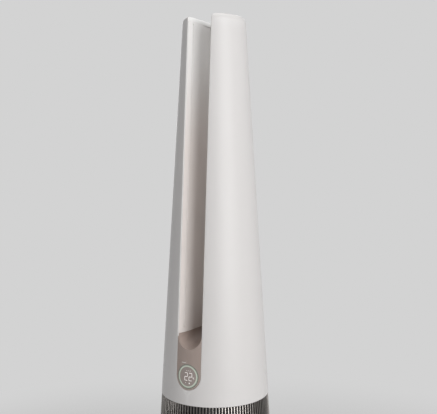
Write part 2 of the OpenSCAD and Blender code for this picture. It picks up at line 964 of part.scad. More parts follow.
// What is cut from both covers: the slot, the fascia and its round lower end
module slot_cut(half_w) {
    translate([0, far / 2, 0])
        rotate([90, 0, 0])
            linear_extrude(height = far) {
                translate([0, fascia_arc_z])
                    circle(r = half_w);
                translate([-half_w, fascia_arc_z])
                    square([2 * half_w, tower_h]);
            }
}

guide_axis_d = guide_depth + guide_r;
rack_d = 4;
guide_rack_teeth = round(2 * (guide_r + rack_d) / guide_module);
guide_centre_r = guide_module * (guide_rack_teeth + guide_pinion_teeth) / 2;
guide_pinion_x = guide_centre_r * sin(guide_pinion_angle);
guide_pinion_d = guide_axis_d - guide_centre_r * cos(guide_pinion_angle);
guide_motor_h = 20;
rack_z = 1;
rack_h = 6;
guide_motor_top = rack_z - 3;
guide_shelf_t = 3;
ledge_w = 6;
ledge_t = 2.5;

module guide_shelf() {
    intersection() {
        edge_frame()
            translate([guide_pinion_x - guide_motor_r - 3, guide_pinion_d - guide_motor_r - 3,
                guide_motor_top - guide_motor_h - guide_shelf_t])
                cube([far, 2 * guide_motor_r + 6, guide_shelf_t]);
        cone_solid(grille_top_z, tower_h, wall_t / 2);
    }
}

module outer_cover(side) {
    color(white_shell)
        on_side(side) {
            difference() {
                union() {
                    cone_shell(grille_top_z, cap_z - seam, 0, wall_t);
                    difference() {
                        cone_solid(grille_top_z, grille_top_z + ledge_t, wall_t / 2);
                        translate([0, 0, grille_top_z - eps])
                            cylinder(h = ledge_t + 2 * eps,
                                r = cone_r(grille_top_z) - wall_t - ledge_w);
                    }
                }
                translate([-far, -far / 2, 0])
                    cube([far + seam / 2, far, tower_h]);
                slot_cut(slot_half_w);
            }
            guide_shelf();
        }
}

module wing_space(z0, z1) {
    cone_solid(z0, z1, wall_t + seam);
}

// Everything in front of the line where the front panel ends, which leans with the rear edge
module before_nozzle() {
    y0 = edge_y(slot_floor_z) - panel_end_d;
    lean = (tower_h - slot_floor_z) * tan(edge_tilt);
    translate([0, 0, slot_floor_z])
        rotate([90, 0, 90])
            linear_extrude(height = far)
                polygon([[-far, 0], [y0, 0], [y0 - lean, tower_h - slot_floor_z],
                    [-far, tower_h - slot_floor_z]]);
}

board_z = 13;
board_top_gap = 16;
board_l = edge_l - board_z - board_top_gap;

// Sector between two radii and two angles from the middle, round the guide axis
module guide_sector(r_in, r_out, from, to) {
    translate([0, guide_axis_d])
        intersection() {
            difference() {
                circle(r = r_out);
                circle(r = r_in);
            }
            polygon([[0, 0],
                for (a = [from, (from + to) / 2, to])
                    [2 * guide_r * sin(a), -2 * guide_r * cos(a)]]);
        }
}

module front_panel(side) {
    color(inner_shell)
        on_side(side)
            difference() {
                intersection() {
                    edge_frame()
                        translate([0, 0, -slot_half_w])
                            linear_extrude(height = edge_l + 2 * slot_half_w)
                                wall_section(front_arc_r, throat_half_w, front_flare_d, wall_t,
                                    -5, 2 * base_r);
                    wing_space(panel_z, cap_z - seam);
                    before_nozzle();
                }
                edge_frame()
                    translate([0, 0, board_z - 1.5])
                        linear_extrude(height = board_l + 3)
                            guide_sector(guide_r - guide_t / 2 - guide_gap,
                                guide_r + guide_t / 2 + guide_gap, 15, 45);
            }
}

module rear_panel(side) {
    color(inner_shell)
        on_side(side)
            mirror([0, 1, 0])
                intersection() {
                    edge_frame()
                        translate([0, 0, -slot_half_w])
                            linear_extrude(height = edge_l + 2 * slot_half_w)
                                wall_section(rear_arc_r, lip_half_w, rear_flare_d, lip_t,
                                    -5, lip_end_d);
                    wing_space(panel_z, cap_z - seam);
                }
}

crown_steps = 6;
sliver = 0.01;

// A level slice of a wing, drawn in from its edges by inset
module wing_slice(z, inset) {
    y_edge = edge_y(z);
    translate([0, 0, z - sliver])
        linear_extrude(height = sliver)
            hull() {
                intersection() {
                    circle(r = cone_r(z) - inset);
                    translate([throat_half_w + front_arc_r, front_flare_d - y_edge])
                        circle(r = front_arc_r - inset, $fn = 4 * $fn);
                    translate([0, -far])
                        square([far, far + front_flare_d - y_edge]);
                }
                intersection() {
                    circle(r = cone_r(z) - inset);
                    translate([lip_half_w + rear_arc_r, y_edge - rear_flare_d])
                        circle(r = rear_arc_r - inset, $fn = 2 * $fn);
                    translate([0, y_edge - rear_flare_d])
                        square([far, far]);
                }
                intersection() {
                    circle(r = cone_r(z) - inset);
                    translate([slot_half_w + crown_round, front_flare_d - y_edge])
                        square([far, 2 * y_edge - front_flare_d - rear_flare_d]);
                }
            }
}

module top_cap(side) {
    color(white_shell)
        on_side(side)
            difference() {
                hull() {
                    wing_slice(cap_z + sliver, 0);
                    for (i = [0 : crown_steps])
                        let (a = 90 * i / crown_steps)
                        wing_slice(tower_h - crown_round * (1 - sin(a)),
                            crown_round * (1 - cos(a)));
                }
                intersection() {
                    cone_solid(cap_z - eps, tower_h - wall_t - 2, crown_round);
                    translate([slot_half_w + wall_t + 1, -far / 2, 0])
                        cube([far, far, 2 * tower_h]);
                }
            }
}

vane_count = 6;
vane_t = 1.5;
vane_x = slot_half_w + 4;

// Shelves on a spine that turn the rising air towards the nozzle
module air_vanes(side) {
    pitch = (cap_z - slot_floor_z) / (vane_count + 1);
    color(grey_plastic)
        on_side(side) {
            intersection() {
                wing_space(panel_z, cap_z - seam);
                for (i = [1 : vane_count])
                    translate([vane_x, 14, slot_floor_z + i * pitch])
                        cube([far, far, vane_t]);
            }
            translate([vane_x, 22, slot_floor_z + pitch / 2])
                cube([2, 14, cap_z - slot_floor_z - pitch]);
        }
}

module air_trough() {
    length = edge_y(slot_floor_z);
    throat_end = length - panel_end_d + 2;
    taper_start = length - lip_end_d - 26;
    color(taupe_trim)
        intersection() {
            translate([0, 0, slot_floor_z])
                rotate([-90, 0, 0])
                    rotate_extrude(angle = 180)
                        difference() {
                            union() {
                                translate([0, -length])
                                    slot_section(front_arc_r, throat_half_w, front_flare_d,
                                        trough_t, -10, length + throat_end);
                                translate([0, length])
                                    mirror([0, 1])
                                        slot_section(rear_arc_r, lip_half_w, rear_flare_d,
                                            trough_t, -10, lip_end_d);
                            }
                            translate([0, -length])
                                slot_section(front_arc_r, throat_half_w, front_flare_d, 0,
                                    -10, length + taper_start);
                            polygon([[0, taper_start], [throat_half_w, taper_start],
                                [lip_half_w, length - lip_end_d], [0, length - lip_end_d]]);
                            translate([0, length])
                                mirror([0, 1])
                                    slot_section(rear_arc_r, lip_half_w, rear_flare_d, 0,
                                        -10, lip_end_d);
                        }
            wing_space(slot_floor_z - 2 * slot_half_w, slot_floor_z);
        }
}

// ---- fascia and display ----

fascia_top_z = slot_floor_z;
display_back_y = -(cone_r(display_z) - display_d);
display_gap = 0.25;
display_post_r = 2;
display_board_w = 40;
display_board_h = 60;
display_board_z = display_z - ring_r - 1;

module at_board_posts() {
    for (x = [-1, 1])
        translate([x * (display_board_w / 2 - 3), 0, display_board_z + display_board_h - 4])
            children();
}

module fascia_blank() {
    difference() {
        intersection() {
            cone_shell(fascia_arc_z - slot_half_w, fascia_top_z, 0, wall_t);
            slot_cut(slot_half_w - seam);
            translate([-far / 2, -far, 0])
                cube([far, far, tower_h]);
        }
        y_cylinder(slot_half_w, -far, 0, slot_floor_z);
    }
}

module lamp_prism(extra, depth) {
    translate([lamp_x, 0, lamp_z])
        rotate([90, 0, 0])
            linear_extrude(height = depth) {
                square([lamp_l - lamp_h + 0.001, lamp_h + 2 * extra], center = true);
                for (x = [-1, 1])
                    translate([x * (lamp_l - lamp_h) / 2, 0])
                        circle(r = lamp_h / 2 + extra, $fn = 24);
            }
}

module front_fascia() {
    color(taupe_trim)
        difference() {
            union() {
                fascia_blank();
                intersection() {
                    at_board_posts()
                        y_cylinder(display_post_r, -base_r, display_back_y, 0);
                    cone_solid(fascia_arc_z - slot_half_w, fascia_top_z, wall_t / 2);
                }
            }
            y_cylinder(ring_r + display_gap, -far, 0, display_z);
            lamp_prism(display_gap, far);
        }
}

module display_disc(r_out, r_in, recess) {
    intersection() {
        cone_solid(display_z - 2 * ring_r, display_z + 2 * ring_r, recess);
        difference() {
            y_cylinder(r_out, -far, display_back_y, display_z);
            if (r_in > 0)
                y_cylinder(r_in, -far, 0, display_z);
        }
    }
}

module light_ring() {
    color(ring_green)
        display_disc(ring_r, ring_r - ring_w, 0);
}

module display_lens() {
    color(taupe_trim)
        display_disc(ring_r - ring_w - display_gap, 0, 0.3);
}

module display_board() {
    color(board_green)
        translate([-display_board_w / 2, display_back_y, display_board_z])
            cube([display_board_w, board_t, display_board_h]);
}

module status_lamp() {
    color(ring_green)
        intersection() {
            lamp_prism(0, far);
            cone_shell(display_z, slot_floor_z, 0, wall_t);
        }
}

sensor_slots = 4;
slot_pitch = 6;
slot_h = 2.4;
sensor_h = 28;
sensor_gap = 3;
sensor_z = slot_floor_z - slot_half_w - trough_t - sensor_h / 2 - sensor_gap;
sensor_slot_w = 20;

module rear_fascia() {
    color(taupe_trim)
        difference() {
            mirror([0, 1, 0])
                fascia_blank();
            for (i = [0 : sensor_slots - 1])
                translate([-sensor_slot_w / 2, 0,
                    sensor_z + (i - (sensor_slots - 1) / 2) * slot_pitch - slot_h / 2])
                    cube([sensor_slot_w, far, slot_h]);
        }
}

sensor_w = 32;
sensor_d = 14;
sensor_wall = 2;

// A box behind the slots, open towards them
module air_sensor() {
    back_y = cone_r(sensor_z) - wall_t - sensor_d;
    color(dark_plastic)
        difference() {
            intersection() {
                translate([-sensor_w / 2, 0, sensor_z - sensor_h / 2])
                    cube([sensor_w, far, sensor_h]);
                difference() {
                    cone_solid(display_z, slot_floor_z, wall_t + seam);
                    translate([-far / 2, -far + back_y, 0])
                        cube([far, far, tower_h]);
                }
            }
            translate([-sensor_w / 2 + 2 * sensor_wall, back_y + sensor_wall,
                sensor_z - sensor_h / 2 + sensor_wall])
                cube([sensor_w - 4 * sensor_wall, far, sensor_h - 2 * sensor_wall]);
        }
}

main_board_w = 50;
main_board_h = 58;
main_board_drop = 22;
main_board_inset = 15;
socket_w = 12;
socket_h = 16;
socket_d = 8;
foot_w = 8;
foot_d = 4;

module main_board() {
    top = sensor_z - main_board_drop;
    board_y = cone_r(top) - main_board_inset;
    color(board_green)
        translate([-main_board_w / 2, board_y, top - main_board_h])
            cube([main_board_w, board_t, main_board_h]);
    color(dark_plastic) {
        for (i = [-1 : 1])
            translate([i * 1.5 * socket_w - socket_w / 2, board_y - socket_d, top - main_board_h / 2])
                cube([socket_w, socket_d + eps, socket_h]);
        for (x = [-1, 1])
            translate([x * (main_board_w / 2 - foot_w * 3 / 4) - foot_w / 2, board_y - foot_d,
                grille_top_z])
                cube([foot_w, foot_d + eps, top - main_board_h * 4 / 5 - grille_top_z]);
    }
}

// ---- guide boards ----

guide_play = 0.2;
// Angle at which the board's circle crosses the slot wall's arc
guide_reach = norm([throat_half_w + front_arc_r, guide_axis_d - front_flare_d]);
guide_rest_angle = atan2(throat_half_w + front_arc_r, guide_axis_d - front_flare_d)
    - acos((pow(guide_r, 2) + pow(guide_reach, 2) - pow(front_arc_r, 2))
        / (2 * guide_r * guide_reach));
rack_first = -4;
rack_last = 13;
leg_angle = 5;

// Rack sector round the guide axis, with a tooth's middle at the pinion
module guide_rack() {
    inner = guide_r;
    step = gear_angle(guide_rack_teeth);
    translate([0, guide_axis_d, rack_z])
        rotate([0, 0, guide_pinion_angle - 90])
            linear_extrude(height = rack_h)
                polygon(concat(
                    teeth_outline(guide_rack_teeth, guide_module, guide_play,
                        rack_first, rack_last),
                    [for (i = [rack_last + 0.5 : -0.5 : rack_first - 0.5])
                        [inner * cos(i * step), inner * sin(i * step)]]));
}

module guide_board(side) {
    color(inner_shell)
        on_side(side)
            edge_frame() {
                translate([0, 0, board_z])
                    linear_extrude(height = board_l)
                        guide_sector(guide_r - guide_t / 2, guide_r + guide_t / 2,
                            guide_rest_angle, guide_back_angle);
                translate([0, 0, rack_z])
                    linear_extrude(height = board_z - rack_z + eps)
                        guide_sector(guide_r - guide_t / 2, guide_r + guide_t / 2,
                            guide_back_angle - leg_angle, guide_back_angle);
                guide_rack();
            }
}

guide_shaft_r = 2;
guide_shaft_l = 12;

module at_guide_pinion() {
    edge_frame()
        translate([guide_pinion_x, guide_pinion_d, 0])
            children();
}

module guide_pinion(side) {
    color(acetal_white)
        on_side(side)
            at_guide_pinion() {
                translate([0, 0, rack_z])
                    rotate([0, 0, guide_pinion_angle + 90 + gear_angle(guide_pinion_teeth) / 2])
                        gear(guide_pinion_teeth, guide_module, guide_play, rack_h);
                translate([0, 0, guide_motor_top - guide_shaft_l + seam])
                    cylinder(h = rack_z + rack_h / 2 - guide_motor_top + guide_shaft_l - seam,
                        r = guide_shaft_r);
            }
}

module guide_motor(side) {
    color(steel)
        on_side(side)
            at_guide_pinion()
                difference() {
                    translate([0, 0, guide_motor_top - guide_motor_h])
                        cylinder(h = guide_motor_h, r = guide_motor_r);
                    translate([0, 0, guide_motor_top - guide_shaft_l])
                        cylinder(h = guide_shaft_l + eps, r = guide_shaft_r + run_gap);
                }
}

rubber_feet();
foot_bottom_plate();
ballast_plate();
foot_shell();
foot_screws();
slide_ring();
hub_retainer();
retainer_screws();
swivel_motor();
cord_gland();
swivel_pinion();
chassis_plate();
turntable_gear();
lower_skirt();
cover_release();
power_board();
filter_floor();
side_posts();
fan_deck();
bellmouth();
inlet_guard();
fan_duct();
diffuser();
fan_motor();
motor_dampers();
impeller();
motor_shaft();
front_grille();
rear_grille();
filter_media();
filter_top_cap();
filter_bottom_cap();
filter_sleeve();
filter_strap();
outer_cover("left");  // left_outer_cover
outer_cover("right");  // right_outer_cover
front_panel("left");  // left_front_panel
front_panel("right");  // right_front_panel
rear_panel("left");  // left_rear_panel
rear_panel("right");  // right_rear_panel
top_cap("left");  // left_top_cap
top_cap("right");  // right_top_cap
air_vanes("left");  // left_air_vanes
air_vanes("right");  // right_air_vanes
air_trough();
front_fascia();
light_ring();
display_lens();
display_board();
status_lamp();
rear_fascia();
air_sensor();
main_board();
guide_board("left");  // left_guide_board
guide_board("right");  // right_guide_board
guide_pinion("left");  // left_guide_pinion
guide_pinion("right");  // right_guide_pinion
guide_motor("left");  // left_guide_motor
guide_motor("right");  // right_guide_motor
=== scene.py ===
import json
from math import asin, cos, pi, radians, sin, sqrt

import bmesh
import bpy
from mathutils import Matrix, Quaternion, Vector


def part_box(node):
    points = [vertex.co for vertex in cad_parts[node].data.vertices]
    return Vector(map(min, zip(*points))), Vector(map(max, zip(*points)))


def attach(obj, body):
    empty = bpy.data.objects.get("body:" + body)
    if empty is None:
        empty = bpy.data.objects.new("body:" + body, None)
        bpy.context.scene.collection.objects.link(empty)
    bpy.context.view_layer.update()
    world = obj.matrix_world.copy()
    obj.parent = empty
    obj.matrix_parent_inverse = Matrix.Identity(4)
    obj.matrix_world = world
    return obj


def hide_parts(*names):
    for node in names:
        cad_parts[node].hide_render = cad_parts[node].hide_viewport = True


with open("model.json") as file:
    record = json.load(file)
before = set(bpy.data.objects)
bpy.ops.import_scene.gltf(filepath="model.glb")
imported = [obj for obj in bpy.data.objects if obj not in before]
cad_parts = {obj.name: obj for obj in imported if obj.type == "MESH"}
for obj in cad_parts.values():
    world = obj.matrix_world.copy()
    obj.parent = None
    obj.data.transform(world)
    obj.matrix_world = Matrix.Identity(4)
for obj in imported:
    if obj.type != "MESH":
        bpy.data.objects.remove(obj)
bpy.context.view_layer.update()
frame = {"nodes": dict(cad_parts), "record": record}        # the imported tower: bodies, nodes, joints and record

nodes = frame["nodes"]
bodyOf = {node: body for body, members in frame["record"]["behaviour"]["bodies"].items()
          for node in members}
slotOf = {part["node"]: part["material_slot"] for part in frame["record"]["subparts"]}
joints = frame["record"]["behaviour"]["joints"]
print("frame loaded:", len(nodes), "nodes")


studio = {
    "azimuth": 29.9,              # degrees to the right of straight in front
    "distance": 1.436,            # level, from the tower's axis
    "eyeHeight": 0.783,
    "roll": -0.11,                # degrees
    "lens": 54.95,
    "sensorWidth": 36,
    "shift": (0.0089, -0.0632),
    "backdrop": 0.651,            # what the camera, mirrors and glass see round the tower
    "fill": 0.30,                 # light that comes from all round
    "aim": (0, 0, 0.6),           # where every lamp points
    "lamps": {
        "keyLamp": {"place": (2.30, -1.16, 1.15), "size": (1.8, 2.2), "power": 42.0},
        "rearLamp": {"place": (-1.5, 2.3, 1.6), "size": (1.2, 2.0), "power": 22.0},
        "topLamp": {"place": (0.25, -0.20, 2.5), "size": (0.9, 0.9), "power": 9.0},
        "rightSheen": {"place": (1.19, -0.53, 0.42), "size": (0.66, 0.8), "power": 22.0},
        "leftSheen": {"place": (-1.21, -0.47, 0.42), "size": (0.26, 0.8), "power": 6.0},
        "edgeSheen": {"place": (1.00, 0.84, 0.42), "size": (0.65, 0.8), "power": 1.1},
    },
    "sheens": ("rightSheen", "leftSheen", "edgeSheen"),      # mirrored in the slats alone
    "floorRadius": 5.0,
    "floorSteps": 96,
    "floorDrop": 0.0004,          # below the feet, so that no two faces share a place
    "floorColour": (0.72, 0.72, 0.72, 1),
    "floorRough": 0.7,
    "floorBlend": (0.5, 1.3),     # radii between which the lit floor turns into the backdrop
}


def linkObject(made):
    bpy.context.scene.collection.objects.link(made)
    return made


def placeCamera():
    lens = bpy.data.cameras.new("camera")
    lens.lens = studio["lens"]
    lens.sensor_width = studio["sensorWidth"]
    lens.shift_x, lens.shift_y = studio["shift"]
    camera = linkObject(bpy.data.objects.new("camera", lens))
    side = Matrix.Rotation(radians(studio["azimuth"]), 3, "Z")
    ahead = side @ Vector((0, 1, 0))
    camera.location = Vector((0, 0, studio["eyeHeight"])) - studio["distance"] * ahead
    level = ahead.to_track_quat("-Z", "Y")
    camera.rotation_euler = (level @ Quaternion((0, 0, 1), radians(studio["roll"]))).to_euler()
    bpy.context.scene.camera = camera


def placeLamp(name, look):
    light = bpy.data.lights.new(name, "AREA")
    light.shape = "RECTANGLE"
    light.size, light.size_y = look["size"]
    light.energy = look["power"]
    lamp = linkObject(bpy.data.objects.new(name, light))
    lamp.location = look["place"]
    ray = Vector(studio["aim"]) - lamp.location
    lamp.rotation_euler = ray.to_track_quat("-Z", "Y").to_euler()
    lamp.visible_camera = False
    return lamp


def aimAtSlats(lamp):                 # the lamp lights the slats and nothing else
    lit = bpy.data.collections.new(lamp.name + "Lit")
    for piece in slatPieces:
        lit.objects.link(piece)
    lamp.light_linking.receiver_collection = lit


def addNode(tree, kind, **settings):
    node = tree.nodes.new("ShaderNode" + kind)
    for name, value in settings.items():
        setattr(node, name, value)
    return node


def feed(tree, node, **inputs):       # a link from a socket, or a plain value
    for name, value in inputs.items():
        socket = node.inputs[name.replace("_", " ")]
        if isinstance(value, bpy.types.NodeSocket):
            tree.links.new(value, socket)
        else:
            socket.default_value = value
    return node


def seenDirectly(tree):               # 1 on camera, mirror and glass rays
    path = addNode(tree, "LightPath")
    either = addNode(tree, "Math", operation="MAXIMUM")
    tree.links.new(path.outputs["Is Camera Ray"], either.inputs[0])
    tree.links.new(path.outputs["Is Glossy Ray"], either.inputs[1])
    anyOf = addNode(tree, "Math", operation="MAXIMUM")
    tree.links.new(either.outputs[0], anyOf.inputs[0])
    tree.links.new(path.outputs["Is Transmission Ray"], anyOf.inputs[1])
    return anyOf.outputs[0]


def buildWorld():
    world = bpy.data.worlds.new("studioWorld")
    bpy.context.scene.world = world
    world.use_nodes = True
    tree = world.node_tree
    level = feed(tree, addNode(tree, "MapRange"), Value=seenDirectly(tree),
                 To_Min=studio["fill"], To_Max=studio["backdrop"])
    feed(tree, tree.nodes["Background"], Color=(1, 1, 1, 1), Strength=level.outputs[0])


def buildFloor():
    material = bpy.data.materials.new("paleFloor")
    material.use_nodes = True
    tree = material.node_tree
    shader = feed(tree, tree.nodes["Principled BSDF"], Base_Color=studio["floorColour"],
                  Roughness=studio["floorRough"])
    place = objectPlace(tree)
    radius = addNode(tree, "VectorMath", operation="LENGTH")
    tree.links.new(place, radius.inputs[0])
    near, far = studio["floorBlend"]
    fade = feed(tree, addNode(tree, "MapRange", interpolation_type="SMOOTHSTEP"),
                Value=radius.outputs["Value"], From_Min=near, From_Max=far)
    share = addNode(tree, "Math", operation="MULTIPLY")
    tree.links.new(fade.outputs[0], share.inputs[0])
    tree.links.new(seenDirectly(tree), share.inputs[1])
    glow = feed(tree, addNode(tree, "Emission"), Color=(1, 1, 1, 1), Strength=studio["backdrop"])
    mix = addNode(tree, "MixShader")
    tree.links.new(share.outputs[0], mix.inputs[0])
    tree.links.new(shader.outputs[0], mix.inputs[1])
    tree.links.new(glow.outputs[0], mix.inputs[2])
    tree.links.new(mix.outputs[0], tree.nodes["Material Output"].inputs["Surface"])
    bm = bmesh.new()
    bmesh.ops.create_circle(bm, cap_ends=True, segments=studio["floorSteps"],
                            radius=studio["floorRadius"])
    bmesh.ops.translate(bm, verts=bm.verts, vec=(0, 0, -studio["floorDrop"]))
    makeObject("floor", bm, [material])


def isSharp(edge, degrees):
    return edge.calc_face_angle(0) > radians(degrees)


def makeObject(name, bm, materials, smoothBelow=None):
    if smoothBelow is not None:
        for face in bm.faces:
            face.smooth = True
        for edge in bm.edges:
            edge.smooth = len(edge.link_faces) == 2 and not isSharp(edge, smoothBelow)
    mesh = bpy.data.meshes.new(name)
    bm.to_mesh(mesh)
    bm.free()
    for material in materials:
        mesh.materials.append(material)
    return linkObject(bpy.data.objects.new(name, mesh))


def standFor(piece, name):            # rides with its CAD node's body, and the CAD node is hidden
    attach(piece, bodyOf[name])
    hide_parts(name)


dressing = {
    "weld": 0.000002,             # corners closer than this become one
    "flat": 0.3,                  # degrees between faces that become one
    "sharp": 32,                  # degrees from which an edge is rounded
    "trimSharp": 24,              # the same for panels and trim
    "roundingSteps": 2,
    "smooth": 40,                 # degrees below which the new pieces shade as one face
}


def roundEdges(piece, width, sharp):
    bevel = piece.modifiers.new("edgeRounding", "BEVEL")
    bevel.width = width
    bevel.segments = dressing["roundingSteps"]
    bevel.limit_method = "ANGLE"
    bevel.angle_limit = radians(sharp)
    bevel.use_clamp_overlap = True


def dressNode(name, rounding, sharp=dressing["sharp"], finish=None, reshape=None):
    bm = bmesh.new()
    bm.from_mesh(nodes[name].data)
    bmesh.ops.remove_doubles(bm, verts=bm.verts, dist=dressing["weld"])
    bmesh.ops.dissolve_limit(bm, angle_limit=radians(dressing["flat"]), verts=bm.verts,
                             edges=bm.edges)
    if reshape:
        reshape(name, bm)
    finish = finish or finishes[slotOf[name]]
    piece = makeObject(name + "_finished", bm, [finish], smoothBelow=sharp)
    roundEdges(piece, rounding, sharp)
    standFor(piece, name)


def newMaterial(name):
    material = bpy.data.materials.new(name)
    material.use_nodes = True
    return material, material.node_tree, material.node_tree.nodes["Principled BSDF"]


def newGroup(name, inputs, outputs):
    group = bpy.data.node_groups.new(name, "ShaderNodeTree")
    for socket, value in inputs.items():
        made = group.interface.new_socket(socket, in_out="INPUT", socket_type="NodeSocketFloat")
        made.default_value = value
    for socket in outputs:
        group.interface.new_socket(socket, in_out="OUTPUT", socket_type="NodeSocketFloat")
    return group, group.nodes.new("NodeGroupInput"), group.nodes.new("NodeGroupOutput")


def objectPlace(tree):
    return addNode(tree, "TexCoord").outputs["Object"]


mouldedLook = {"grain": 1400.0, "drift": 7.0, "edgeFrom": 0.51, "edgeTo": 0.58}
brushedLook = {"across": 2600.0, "along": 40.0, "cloud": 14.0}


def buildMouldedSurface():            # fine spark-eroded grain, slow shade drift and worn edges
    look = mouldedLook
    group, entry, leave = newGroup("mouldedSurface",
                                   {"Grain Scale": look["grain"], "Drift Scale": look["drift"]},
                                   ("Grain", "Drift", "Edge"))
    place = objectPlace(group)
    grain = feed(group, addNode(group, "TexNoise"), Vector=place,
                 Scale=entry.outputs["Grain Scale"], Detail=2.0, Roughness=0.55)
    drift = feed(group, addNode(group, "TexNoise"), Vector=place,
                 Scale=entry.outputs["Drift Scale"], Detail=4.0, Roughness=0.6)
    point = addNode(group, "NewGeometry").outputs["Pointiness"]
    edge = feed(group, addNode(group, "MapRange"), Value=point, From_Min=look["edgeFrom"],
                From_Max=look["edgeTo"])
    group.links.new(grain.outputs["Fac"], leave.inputs["Grain"])
    group.links.new(drift.outputs["Fac"], leave.inputs["Drift"])
    group.links.new(edge.outputs[0], leave.inputs["Edge"])
    return group


def buildBrushing():                  # fine streaks that run up the metal
    look = brushedLook
    group, entry, leave = newGroup("brushedStreaks",
                                   {"Across": look["across"], "Along": look["along"]},
                                   ("Streak", "Cloud"))
    place = objectPlace(group)
    scale = addNode(group, "CombineXYZ")
    for socket, source in (("X", "Across"), ("Y", "Across"), ("Z", "Along")):
        group.links.new(entry.outputs[source], scale.inputs[socket])
    stretched = addNode(group, "VectorMath", operation="MULTIPLY")
    group.links.new(place, stretched.inputs[0])
    group.links.new(scale.outputs[0], stretched.inputs[1])
    streak = feed(group, addNode(group, "TexNoise"), Vector=stretched.outputs[0],
                  Scale=1.0, Detail=3.0, Roughness=0.5)
    cloud = feed(group, addNode(group, "TexNoise"), Vector=place, Scale=look["cloud"], Detail=3.0)
    group.links.new(streak.outputs["Fac"], leave.inputs["Streak"])
    group.links.new(cloud.outputs["Fac"], leave.inputs["Cloud"])
    return group


def placeGroup(tree, group, **values):
    return feed(tree, addNode(tree, "Group", node_tree=group), **values)


def mixColours(tree, share, first, second):
    mix = addNode(tree, "Mix", data_type="RGBA")
    for index, value in ((0, share), (6, first), (7, second)):
        if isinstance(value, bpy.types.NodeSocket):
            tree.links.new(value, mix.inputs[index])
        else:
            mix.inputs[index].default_value = value
    return mix.outputs[2]


def scaled(tree, value, low, high):
    return feed(tree, addNode(tree, "MapRange"), Value=value, To_Min=low, To_Max=high).outputs[0]


def bumpFrom(tree, height, depth):
    return feed(tree, addNode(tree, "Bump"), Height=height, Distance=depth).outputs["Normal"]


def heightShare(tree, low, high):     # 0 below a height, 1 above another
    split = addNode(tree, "SeparateXYZ")
    tree.links.new(objectPlace(tree), split.inputs[0])
    return feed(tree, addNode(tree, "MapRange", interpolation_type="SMOOTHSTEP"),
                Value=split.outputs["Z"], From_Min=low, From_Max=high).outputs[0]


mouldedSurface = buildMouldedSurface()
brushedStreaks = buildBrushing()

plastics = {       # a colour, the shade it drifts to, its worn edges, and how coarse the grain is
    "satinWhite": {"colour": (0.732, 0.712, 0.702, 1), "drift": (0.712, 0.690, 0.680, 1),
                   "edge": (0.80, 0.785, 0.775, 1), "rough": (0.36, 0.44), "grain": 1500.0,
                   "depth": 0.000012},
    # the inner walls' colour high up is painted light: a paler, neutral top where light from above outweighs warm
    # bounce from the walls
    "satinIvory": {"colour": (0.83, 0.772, 0.742, 1), "drift": (0.80, 0.742, 0.708, 1),
                   "edge": (0.86, 0.82, 0.79, 1), "rough": (0.38, 0.46), "grain": 1500.0,
                   "depth": 0.000012, "upper": (0.865, 0.86, 0.852, 1), "fade": (0.82, 1.06)},
    "satinTaupe": {"colour": (0.405, 0.325, 0.29, 1), "drift": (0.37, 0.295, 0.26, 1),
                   "edge": (0.50, 0.42, 0.38, 1), "rough": (0.38, 0.48), "grain": 1300.0,
                   "depth": 0.000014},
    "mattBlack": {"colour": (0.017, 0.017, 0.018, 1), "drift": (0.026, 0.025, 0.026, 1),
                  "edge": (0.062, 0.061, 0.062, 1), "rough": (0.52, 0.68), "grain": 900.0,
                  "depth": 0.00003, "shine": 0.25},
    "mattGrey": {"colour": (0.22, 0.225, 0.235, 1), "drift": (0.26, 0.262, 0.27, 1),
                 "edge": (0.36, 0.36, 0.37, 1), "rough": (0.48, 0.62), "grain": 900.0,
                 "depth": 0.00003},
    "acetalWhite": {"colour": (0.78, 0.77, 0.73, 1), "drift": (0.73, 0.72, 0.68, 1),
                    "edge": (0.84, 0.83, 0.80, 1), "rough": (0.28, 0.38), "grain": 500.0,
                    "depth": 0.00001},
    "footRubber": {"colour": (0.018, 0.018, 0.018, 1), "drift": (0.032, 0.031, 0.030, 1),
                   "edge": (0.055, 0.054, 0.052, 1), "rough": (0.75, 0.92), "grain": 1100.0,
                   "depth": 0.00006},
}
wear = {"most": 0.6, "shine": 0.5}    # the worn colour's share on an edge, and the usual gloss


def mouldedMaterial(name):
    look = plastics[name]
    material, tree, shader = newMaterial(name)
    surface = placeGroup(tree, mouldedSurface, Grain_Scale=look["grain"])
    drift = surface.outputs["Drift"]
    body = mixColours(tree, drift, look["colour"], look["drift"])
    if "upper" in look:               # painted light: between two heights the colour fades to a paler, neutral one, for the neutral light that reaches the top of the slot
        body = mixColours(tree, heightShare(tree, *look["fade"]), body, look["upper"])
    rubbed = scaled(tree, surface.outputs["Edge"], 0.0, wear["most"])
    worn = mixColours(tree, rubbed, body, look["edge"])
    feed(tree, shader, Base_Color=worn, Roughness=scaled(tree, drift, *look["rough"]),
         Specular_IOR_Level=look.get("shine", wear["shine"]),
         Normal=bumpFrom(tree, surface.outputs["Grain"], look["depth"]))
    return material


metals = {         # the metal, its streaks, and how fine they are across and along it
    "slatMetal": {"colour": (0.140, 0.130, 0.122, 1), "streak": (0.175, 0.163, 0.153, 1),
                  "rough": (0.24, 0.33), "across": 2200.0, "along": 30.0, "depth": 0.00001},
    "plateSteel": {"colour": (0.52, 0.53, 0.54, 1), "streak": (0.62, 0.62, 0.63, 1),
                   "rough": (0.24, 0.42), "across": 1500.0, "along": 60.0, "depth": 0.00001},
    "motorCan": {"colour": (0.44, 0.45, 0.46, 1), "streak": (0.52, 0.53, 0.54, 1),
                 "rough": (0.30, 0.46), "across": 900.0, "along": 900.0, "depth": 0.00001},
}


def metalMaterial(name):
    look = metals[name]
    material, tree, shader = newMaterial(name)
    streaks = placeGroup(tree, brushedStreaks, Across=look["across"], Along=look["along"])
    colour = mixColours(tree, streaks.outputs["Streak"], look["colour"], look["streak"])
    feed(tree, shader, Base_Color=colour, Metallic=1.0,
         Roughness=scaled(tree, streaks.outputs["Cloud"], *look["rough"]),
         Normal=bumpFrom(tree, streaks.outputs["Streak"], look["depth"]))
    return material


